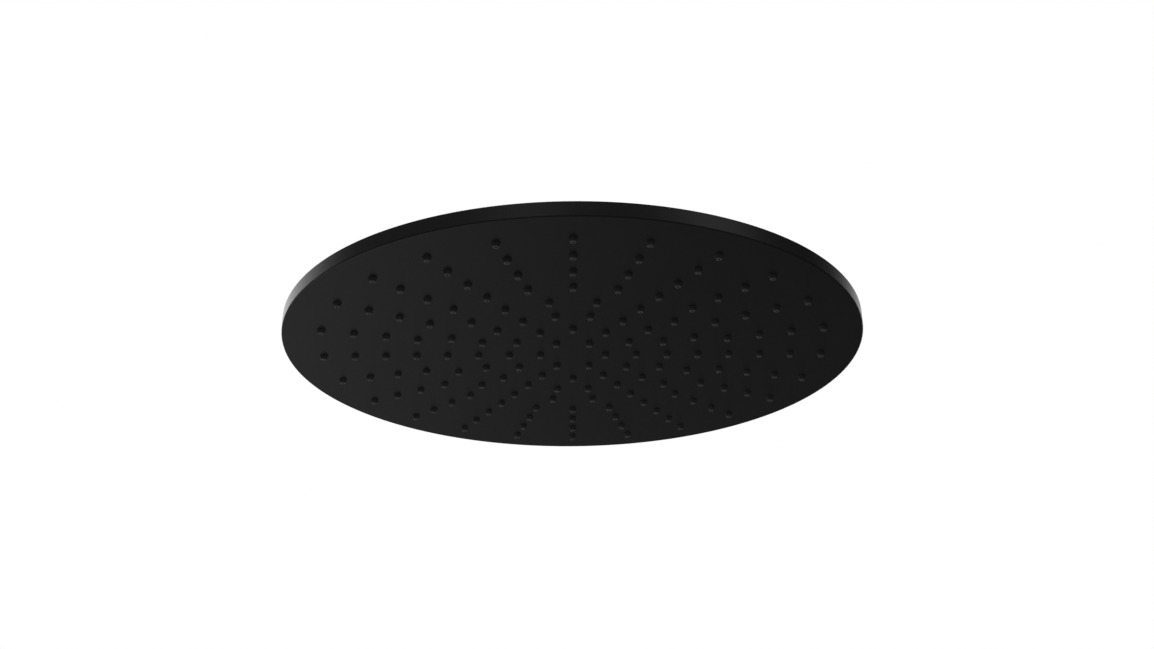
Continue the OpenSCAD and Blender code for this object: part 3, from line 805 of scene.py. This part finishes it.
class SHOWER_OT_ball_stud(bpy.types.Operator):
    """Inlet with a hexagon, a neck and a ball, bored through, and its half-inch pipe thread"""

    bl_idname = "shower.ball_stud"
    bl_label = "Ball Stud"

    def execute(self, context):
        sizes = context.scene.shower_sizes
        low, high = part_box("ball_stud")
        flats = high.y
        corner = high.x
        washer_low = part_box("filter_screen")[0].z
        regulator_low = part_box("flow_regulator")[0].z
        hex_low = regulator_low - 2.5 * MM
        thread_low = -10 * MM
        water_r = 4.25 * MM
        neck_r = water_r + 2.5 * MM
        cap = 1.2 * MM
        seat_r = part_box("filter_screen")[1].x + 0.15 * MM
        regulator_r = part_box("flow_regulator")[1].x + 0.15 * MM
        thread_r = 10.48 * MM
        hexagon = prism("inlet_hexagon", 6, corner, hex_low, high.z)
        blank = turned("hexagon_chamfer", [
            (0, hex_low), (flats, hex_low), (corner + 0.1 * MM, hex_low + cap),
            (corner + 0.1 * MM, high.z - cap), (flats, high.z), (0, high.z)], steps=120, close=False)
        combine(hexagon, blank, "INTERSECT")
        rounded(hexagon, 0.25 * MM, 3, 50)
        neck_foot = math.degrees(math.asin(neck_r / BALL_R))
        flat_angle = math.degrees(math.acos((JOINT_Z - low.z) / BALL_R))
        shank = [(0, low.z)]
        shank += arc(0, JOINT_Z, BALL_R, -90 + flat_angle, 90 - neck_foot - 3, 24)
        foot_z = JOINT_Z + BALL_R * math.cos(math.radians(neck_foot))
        shank += [(neck_r + 0.25 * MM, foot_z + 0.45 * MM), (neck_r, foot_z + 1.2 * MM)]
        shank += [(neck_r, hex_low - 0.9 * MM), (neck_r + 0.3 * MM, hex_low - 0.25 * MM)]
        shank += [(neck_r + 1.0 * MM, hex_low + 0.02 * MM), (neck_r + 1.0 * MM, hex_low + MM)]
        shank += [(0, hex_low + MM)]
        stem = turned("ball_and_neck", shank, steps=120, close=False)
        combine(hexagon, stem, "UNION")
        bore = turned("inlet_bore", [
            (0, low.z - MM), (water_r, low.z - MM), (water_r, regulator_low), (regulator_r, regulator_low),
            (regulator_r, washer_low), (seat_r, washer_low), (seat_r, thread_low - 0.3 * MM),
            (thread_r, thread_low), (thread_r, -0.9 * MM), (thread_r + MM, 0.1 * MM),
            (thread_r + MM, MM), (0, MM)], steps=120, close=False)
        combine(hexagon, bore, "DIFFERENCE")
        hexagon.name = "ball_stud_body"
        stands_for(hexagon, "inlet", "inlet_brass", fitting_finish(), "ball_stud")
        self.bare_bore(hexagon, hex_low, thread_r)
        self.thread(sizes, thread_r, thread_low)
        return {"FINISHED"}

    @staticmethod
    def bare_bore(stud, hex_low, thread_r):
        """The machined faces that take the thread, the washer and the ball's bearing stay bare brass."""
        stud.data.materials.append(brass_finish())
        for face in stud.data.polygons:
            radius = math.hypot(face.center.x, face.center.y)
            facing_in = face.normal.x * face.center.x + face.normal.y * face.center.y < -1e-7
            on_ball = (face.center - Vector((0, 0, JOINT_Z))).length < BALL_R + 0.05 * MM
            step = radius < thread_r - 0.03 * MM and hex_low < face.center.z < -0.5 * MM
            if facing_in or on_ball or step:
                face.material_index = 1

    @staticmethod
    def thread(sizes, root, low):
        """The thread's ridge: a tapered tooth screwed up the bore."""
        pitch, depth = sizes.thread_pitch, sizes.thread_depth
        start = low + 0.4 * MM
        half = pitch / 2
        ridge = drawn("inlet_thread_ridge", [
            (root + 0.03 * MM, start), (root - 0.12 * MM, start + 0.12 * pitch),
            (root - depth, start + half * 0.82), (root - depth, start + half * 1.18),
            (root - 0.12 * MM, start + 0.88 * pitch), (root + 0.03 * MM, start + pitch)])
        bpy.ops.mesh.edge_face_add()
        bpy.ops.object.mode_set(mode="OBJECT")
        turns = int((-0.9 * MM - start - pitch) / pitch)
        apply_modifier(
            ridge, "SCREW", angle=2 * math.pi, screw_offset=pitch, iterations=turns, steps=64,
            render_steps=64, use_merge_vertices=True, merge_threshold=1e-6, use_normal_calculate=True)
        pick(ridge)
        bpy.ops.object.mode_set(mode="EDIT")
        bpy.ops.mesh.select_all(action="SELECT")
        bpy.ops.mesh.normals_make_consistent(inside=False)
        bpy.ops.object.mode_set(mode="OBJECT")
        stands_for(ridge, "inlet", "inlet_brass", brass_finish())


class SHOWER_OT_inlet_fittings(bpy.types.Operator):
    """Washer, woven strainer, flow regulator and its ring inside the inlet"""

    bl_idname = "shower.inlet_fittings"
    bl_label = "Inlet Fittings"

    def execute(self, context):
        low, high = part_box("filter_washer")
        inner = high.x - 2.45 * MM
        middle = (low.z + high.z) / 2
        washer = turned("filter_washer_ring", [
            (inner + 0.3 * MM, low.z), (high.x - 0.3 * MM, low.z), (high.x, low.z + 0.3 * MM),
            (high.x, high.z - 0.3 * MM), (high.x - 0.3 * MM, high.z), (inner + 0.3 * MM, high.z),
            (inner, high.z - 0.3 * MM), (inner - 0.1 * MM, middle), (inner, low.z + 0.3 * MM)], steps=96)
        stands_for(washer, "inlet", "seal_rubber", rubber_finish(), "filter_washer")
        self.strainer()
        node_finish("flow_regulator", regulator_finish())
        node_finish("regulator_oring", rubber_finish())
        return {"FINISHED"}

    @staticmethod
    def strainer():
        """Wire gauze in a flat rim."""
        low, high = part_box("filter_screen")
        middle = (low.z + high.z) / 2
        edge = high.x
        clear_selection()
        bpy.ops.mesh.primitive_grid_add(
            x_subdivisions=28, y_subdivisions=28, size=2 * edge, location=(0, 0, middle))
        gauze = bpy.context.object
        gauze.name = "filter_gauze"
        bpy.ops.object.transform_apply(location=True)
        select_where(
            gauze, "FACE", lambda face: math.hypot(face.center.x, face.center.y) > edge - 1.1 * MM)
        bpy.ops.mesh.delete(type="FACE")
        bpy.ops.object.mode_set(mode="OBJECT")
        apply_modifier(gauze, "WIREFRAME", thickness=0.16 * MM, use_even_offset=False)
        rim = turned("filter_rim", [
            (edge - 1.9 * MM, low.z), (edge - 0.1 * MM, low.z), (edge, low.z + 0.1 * MM),
            (edge, high.z - 0.1 * MM), (edge - 0.1 * MM, high.z), (edge - 1.9 * MM, high.z)], steps=72)
        pick(gauze, rim)
        bpy.ops.object.join()
        stands_for(gauze, "inlet", "screw_steel", steel_finish(), "filter_screen")


def node_finish(node, material):
    """Gives a CAD node that stays its material."""
    shown = frame["nodes"][node]
    shown.data.materials.clear()
    shown.data.materials.append(material)


class SHOWER_OT_chamber_parts(bpy.types.Operator):
    """Finishes of the parts that stay as the frame has them inside the chamber"""

    bl_idname = "shower.chamber_parts"
    bl_label = "Chamber Parts"

    def execute(self, context):
        for node, material in (
                ("mat_retainer", moulded_finish()), ("retainer_screws", steel_finish()),
                ("perimeter_seal", rubber_finish()), ("inlet_diffuser", moulded_finish()),
                ("diffuser_screws", steel_finish()), ("socket_screws", steel_finish())):
            node_finish(node, material)
        return {"FINISHED"}


# ---------------------------------------------------------------- the studio

class SHOWER_OT_stage(bpy.types.Operator):
    """Pale floor, soft lights, white surroundings and the camera"""

    bl_idname = "shower.stage"
    bl_label = "Studio"

    def execute(self, context):
        studio = context.scene.shower_studio
        context.scene.view_settings.view_transform = "Standard"
        self.camera(context, studio)
        self.floor(studio)
        self.surroundings(context)
        centre = Vector((0, 0, FACE_Z))
        self.soft_light("overhead_softbox", (-0.3, 0.2, 1.3), centre, 1.2, 1.2, 14)
        self.soft_light("left_strip", (-0.40, -1.40, 0.52), centre, 0.6, 1.3, 0.7)
        self.soft_light("right_strip", (1.14, -0.90, 0.52), centre, 0.7, 1.3, 1.3)
        underneath = self.soft_light("low_softbox", (-0.1, 0.2, -1.18), centre, 1.2, 1.2, 5.6)
        underneath.visible_glossy = False
        return {"FINISHED"}

    @staticmethod
    def camera(context, studio):
        """Stands in front of the head and below it, looks up at the spray face, and is rolled a little."""
        lift, turn = studio.elevation, studio.azimuth
        forward = Vector((math.sin(turn) * math.cos(lift), math.cos(turn) * math.cos(lift), math.sin(lift)))
        place = Vector((0, 0, FACE_Z)) + Vector(studio.aim) - studio.distance * forward
        right = forward.cross(Vector((0, 0, 1))).normalized()
        up = right.cross(forward)
        across = math.cos(studio.roll) * right + math.sin(studio.roll) * up
        above = math.cos(studio.roll) * up - math.sin(studio.roll) * right
        matrix = Matrix((across, above, -forward)).transposed().to_4x4()
        matrix.translation = place
        data = bpy.data.cameras.new("camera")
        data.sensor_width = 36
        data.lens = studio.lens
        camera = bpy.data.objects.new("camera", data)
        camera.matrix_world = matrix
        context.scene.collection.objects.link(camera)
        context.scene.camera = camera

    @staticmethod
    def floor(studio):
        """A pale floor that is left out of the diffuse and the mirror rays."""
        clear_selection()
        bpy.ops.mesh.primitive_plane_add(size=14, location=(0, 0, FACE_Z - studio.floor_drop))
        floor = bpy.context.object
        floor.name = "studio_floor"
        floor.visible_glossy = False
        floor.visible_diffuse = False
        material = bpy.data.materials.new("studio_floor_paint")
        material.use_nodes = True
        shader = material.node_tree.nodes["Principled BSDF"]
        shader.inputs["Base Color"].default_value = (0.82, 0.82, 0.82, 1)
        shader.inputs["Roughness"].default_value = 0.9
        floor.data.materials.append(material)

    @staticmethod
    def soft_light(name, place, target, width, height, power):
        """A rectangular lamp that faces its target."""
        data = bpy.data.lights.new(name, "AREA")
        data.shape = "RECTANGLE"
        data.size = width
        data.size_y = height
        data.energy = power
        light = bpy.data.objects.new(name, data)
        light.location = place
        light.rotation_euler = (target - Vector(place)).to_track_quat("-Z", "Y").to_euler()
        bpy.context.scene.collection.objects.link(light)
        return light

    @staticmethod
    def surroundings(context):
        """Plain white to look at. As light, it is bright behind and above the head and dim elsewhere."""
        world = bpy.data.worlds.new("studio_white")
        context.scene.world = world
        world.use_nodes = True
        tree = world.node_tree
        tree.nodes.clear()
        link = tree.links.new
        place = node_of(tree, "ShaderNodeTexCoord")
        split = node_of(tree, "ShaderNodeSeparateXYZ")
        link(place.outputs["Generated"], split.inputs[0])
        x, y, z = split.outputs

        def math_node(operation, first, second=None, third=None):
            made = node_of(tree, "ShaderNodeMath", operation=operation)
            for socket, value in zip(made.inputs, (first, second, third)):
                if isinstance(value, (int, float)):
                    socket.default_value = value
                elif value is not None:
                    link(value, socket)
            return made.outputs[0]

        def ramp(value, start, end, low=0.0, high=1.0, kind="SMOOTHSTEP"):
            made = node_of(tree, "ShaderNodeMapRange", interpolation_type=kind)
            link(value, made.inputs["Value"])
            made.inputs["From Min"].default_value = start
            made.inputs["From Max"].default_value = end
            made.inputs["To Min"].default_value = low
            made.inputs["To Max"].default_value = high
            return made.outputs["Result"]

        above = ramp(z, -0.1, 0.15)
        sidewards = math_node("MULTIPLY_ADD", x, -0.18, y)
        behind = ramp(sidewards, 0.3, 1.0)
        wings = math_node("MULTIPLY", math_node("MULTIPLY", behind, above), ramp(x, -0.8, 0.8, 2.1, 2.25))
        front = math_node("MULTIPLY", ramp(x, -0.6, 0.9, 0.04, 0.02), above)
        sky = ramp(z, 0.65, 0.95, 0.0, 0.5)
        falloff = math_node("EXPONENT", math_node("MULTIPLY", ramp(x, -0.3, 0.3, -0.3, 0.3, "LINEAR"), -5.8))
        depth = ramp(z, -0.62, -0.22, 2.05, 0.05, "LINEAR")
        low_back = math_node("MULTIPLY", math_node("MULTIPLY", falloff, depth), ramp(y, 0.2, 0.5, 0.0, 0.046))
        low_back = math_node("MULTIPLY", low_back, ramp(z, -0.15, 0.0, 1.0, 0.0))
        strength = wings
        for part in (front, sky, low_back, ramp(y, -0.3, 0.2, 0.07, 0.025)):
            strength = math_node("ADD", strength, part)
        seen = node_of(tree, "ShaderNodeBackground")
        light = node_of(tree, "ShaderNodeBackground")
        link(strength, light.inputs["Strength"])
        for shader in (seen, light):
            shader.inputs["Color"].default_value = (1, 1, 1, 1)
        ray = node_of(tree, "ShaderNodeLightPath")
        choose = node_of(tree, "ShaderNodeMixShader")
        output = node_of(tree, "ShaderNodeOutputWorld")
        link(ray.outputs["Is Camera Ray"], choose.inputs["Fac"])
        link(light.outputs[0], choose.inputs[1])
        link(seen.outputs[0], choose.inputs[2])
        link(choose.outputs[0], output.inputs["Surface"])


# ---------------------------------------------------------------- panel and registration

PIECES = (
    SHOWER_OT_face_plate, SHOWER_OT_nozzle_mat, SHOWER_OT_back_cover, SHOWER_OT_cover_screws,
    SHOWER_OT_socket, SHOWER_OT_collar_nut, SHOWER_OT_ball_rings, SHOWER_OT_ball_stud,
    SHOWER_OT_inlet_fittings, SHOWER_OT_chamber_parts, SHOWER_OT_stage)


class SHOWER_PT_panel(bpy.types.Panel):
    """Lists the sizes, the finishes and the pieces"""

    bl_idname = "SHOWER_PT_panel"
    bl_label = "Rain Shower Head"
    bl_space_type = "VIEW_3D"
    bl_region_type = "UI"
    bl_category = "Shower"

    def draw(self, context):
        for group in GROUPS:
            settings = getattr(context.scene, group)
            for name in settings.__annotations__:
                self.layout.prop(settings, name)
        for piece in PIECES:
            self.layout.operator(piece.bl_idname)


# where each group of settings hangs on the scene
GROUPS = {
    "shower_sizes": ShowerHeadSizes, "shower_finishes": ShowerHeadFinishes,
    "shower_studio": ShowerHeadStudio}


def register():
    for group, kind in GROUPS.items():
        bpy.utils.register_class(kind)
        setattr(bpy.types.Scene, group, bpy.props.PointerProperty(type=kind))
    for kind in (*PIECES, SHOWER_PT_panel):
        bpy.utils.register_class(kind)


def unregister():
    for kind in reversed((*PIECES, SHOWER_PT_panel)):
        bpy.utils.unregister_class(kind)
    for group, kind in GROUPS.items():
        delattr(bpy.types.Scene, group)
        bpy.utils.unregister_class(kind)


def main():
    register()
    for piece in PIECES:
        group, name = piece.bl_idname.split(".")
        result = getattr(getattr(bpy.ops, group), name)()
        if result != {"FINISHED"}:
            raise RuntimeError(f"{piece.bl_label} didn't finish")
    clear_selection()


if __name__ == "__main__":
    main()
